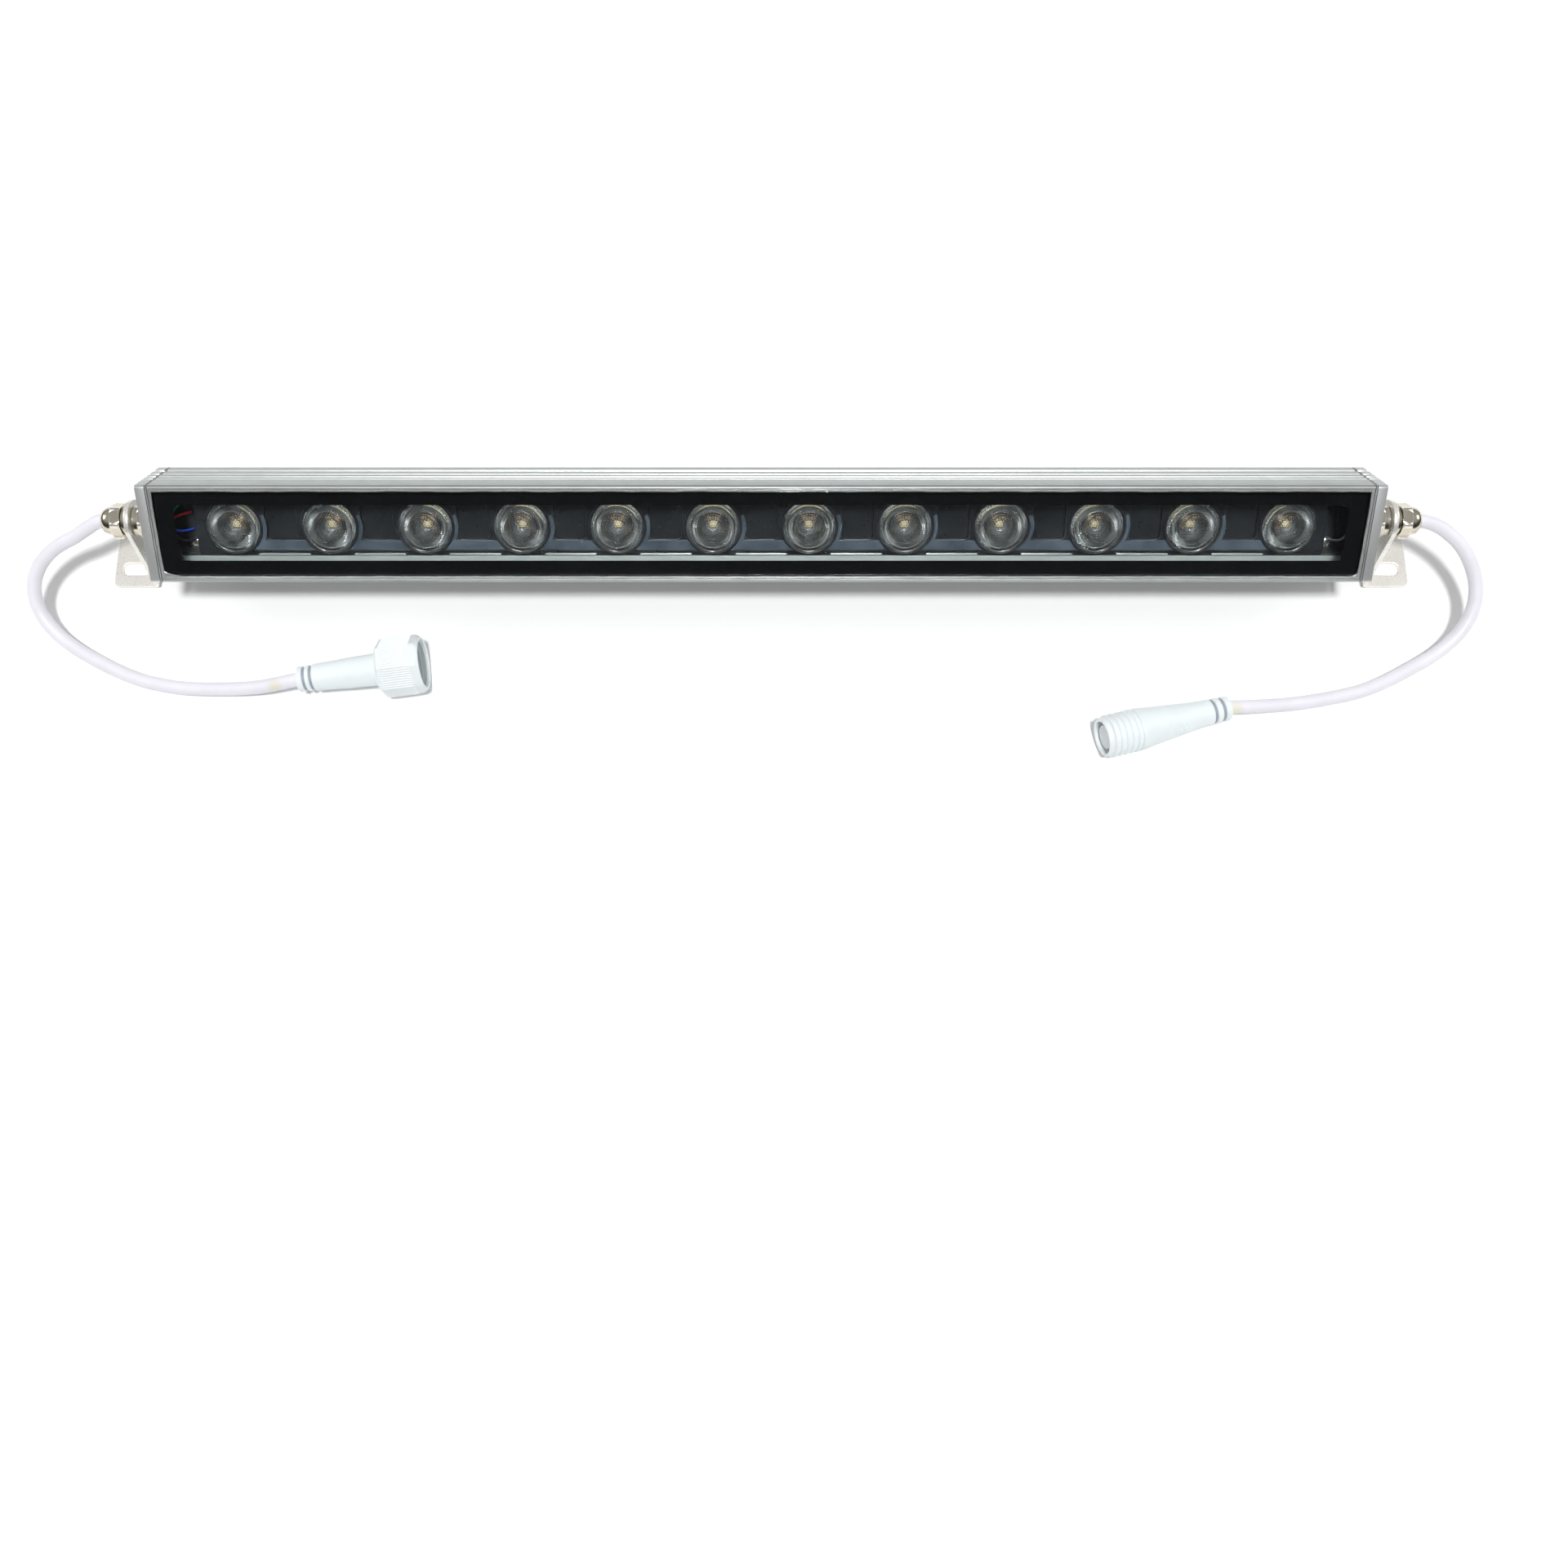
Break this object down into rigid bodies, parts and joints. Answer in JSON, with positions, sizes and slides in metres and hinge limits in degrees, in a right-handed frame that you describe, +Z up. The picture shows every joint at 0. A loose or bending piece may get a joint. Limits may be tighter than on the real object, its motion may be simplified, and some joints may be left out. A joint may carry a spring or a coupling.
{
  "type": "led strip batten",
  "caption": "Slim finned aluminium LED bar light with round beaded lenses behind a black-bordered glass, swivel end brackets, cable glands and corded waterproof connectors.",
  "frame": {"origin": "centre of the footprint, on the surface the bracket feet stand on", "axes": "+X along the bar towards the socket end, +Y towards the back, +Z up from the mounting surface; the glass faces -Y and up"},
  "size_m": [0.6242, 0.1183, 0.0616],
  "materials": {
    "anodised_aluminium": "fine satin, clear anodised",
    "stainless_sheet": "bright, lightly rolled",
    "nickel_plated_brass": "bright nickel plating over brass",
    "cap_screw_steel": "plain",
    "seal_rubber": "matt black",
    "front_glass": "clear, polished, black printed border",
    "clear_silicone": "glossy, translucent",
    "board_laminate": "solder mask",
    "black_frame": "satin black",
    "led_package": "phosphor yellow",
    "clear_acrylic": "clear, beaded top",
    "wire_green": "satin",
    "wire_red": "satin",
    "wire_blue": "satin",
    "cord_jacket": "satin, white",
    "connector_shell": "semi-gloss, cool white"
  },
  "bodies": {
    "housing": {"housing_extrusion": "anodised_aluminium", "end_cap_left": "anodised_aluminium", "cap_gasket_left": "seal_rubber", "cap_screw_left_1": "cap_screw_steel", "cap_screw_left_2": "cap_screw_steel", "end_cap_right": "anodised_aluminium", "cap_gasket_right": "seal_rubber", "cap_screw_right_1": "cap_screw_steel", "cap_screw_right_2": "cap_screw_steel", "glass_cover": "front_glass", "glass_sealant": "clear_silicone", "led_board": "board_laminate", "lens_frame": "black_frame", "led_chip_01": "led_package", "lens_01": "clear_acrylic", "led_chip_02": "led_package", "lens_02": "clear_acrylic", "led_chip_03": "led_package", "lens_03": "clear_acrylic", "led_chip_04": "led_package", "lens_04": "clear_acrylic", "led_chip_05": "led_package", "lens_05": "clear_acrylic", "led_chip_06": "led_package", "lens_06": "clear_acrylic", "led_chip_07": "led_package", "lens_07": "clear_acrylic", "led_chip_08": "led_package", "lens_08": "clear_acrylic", "led_chip_09": "led_package", "lens_09": "clear_acrylic", "led_chip_10": "led_package", "lens_10": "clear_acrylic", "led_chip_11": "led_package", "lens_11": "clear_acrylic", "led_chip_12": "led_package", "lens_12": "clear_acrylic", "lead_wire_green": "wire_green", "lead_wire_red": "wire_red", "lead_wire_blue": "wire_blue", "gland_washer_left": "seal_rubber", "gland_body_left": "nickel_plated_brass", "gland_clamp_ring_left": "nickel_plated_brass", "gland_seal_left": "seal_rubber", "gland_dome_nut_left": "nickel_plated_brass", "cord_left": "cord_jacket", "gland_washer_right": "seal_rubber", "gland_body_right": "nickel_plated_brass", "gland_clamp_ring_right": "nickel_plated_brass", "gland_seal_right": "seal_rubber", "gland_dome_nut_right": "nickel_plated_brass", "cord_right": "cord_jacket", "plug_body": "connector_shell", "plug_insert": "connector_shell", "socket_body": "connector_shell", "socket_insert": "connector_shell"},
    "bracket_left": {"bracket_left": "stainless_sheet"},
    "bracket_right": {"bracket_right": "stainless_sheet"},
    "coupling_nut": {"coupling_nut": "connector_shell"}
  },
  "joints": [
    {"name": "bracket_left_swivel", "type": "hinge", "parent": "housing", "child": "bracket_left", "pos_m": [-0.2647, 0.0033, 0.0336], "axis": [1, 0, 0], "range_deg": [-48, 132]},
    {"name": "bracket_right_swivel", "type": "hinge", "parent": "housing", "child": "bracket_right", "pos_m": [0.2647, 0.0033, 0.0336], "axis": [1, 0, 0], "range_deg": [-48, 132]},
    {"name": "coupling_nut_spin", "type": "hinge", "parent": "housing", "child": "coupling_nut", "pos_m": [-0.16199, -0.055, 0.01179], "axis": [0.9917, 0.117, 0.0539], "continuous": true}
  ]
}
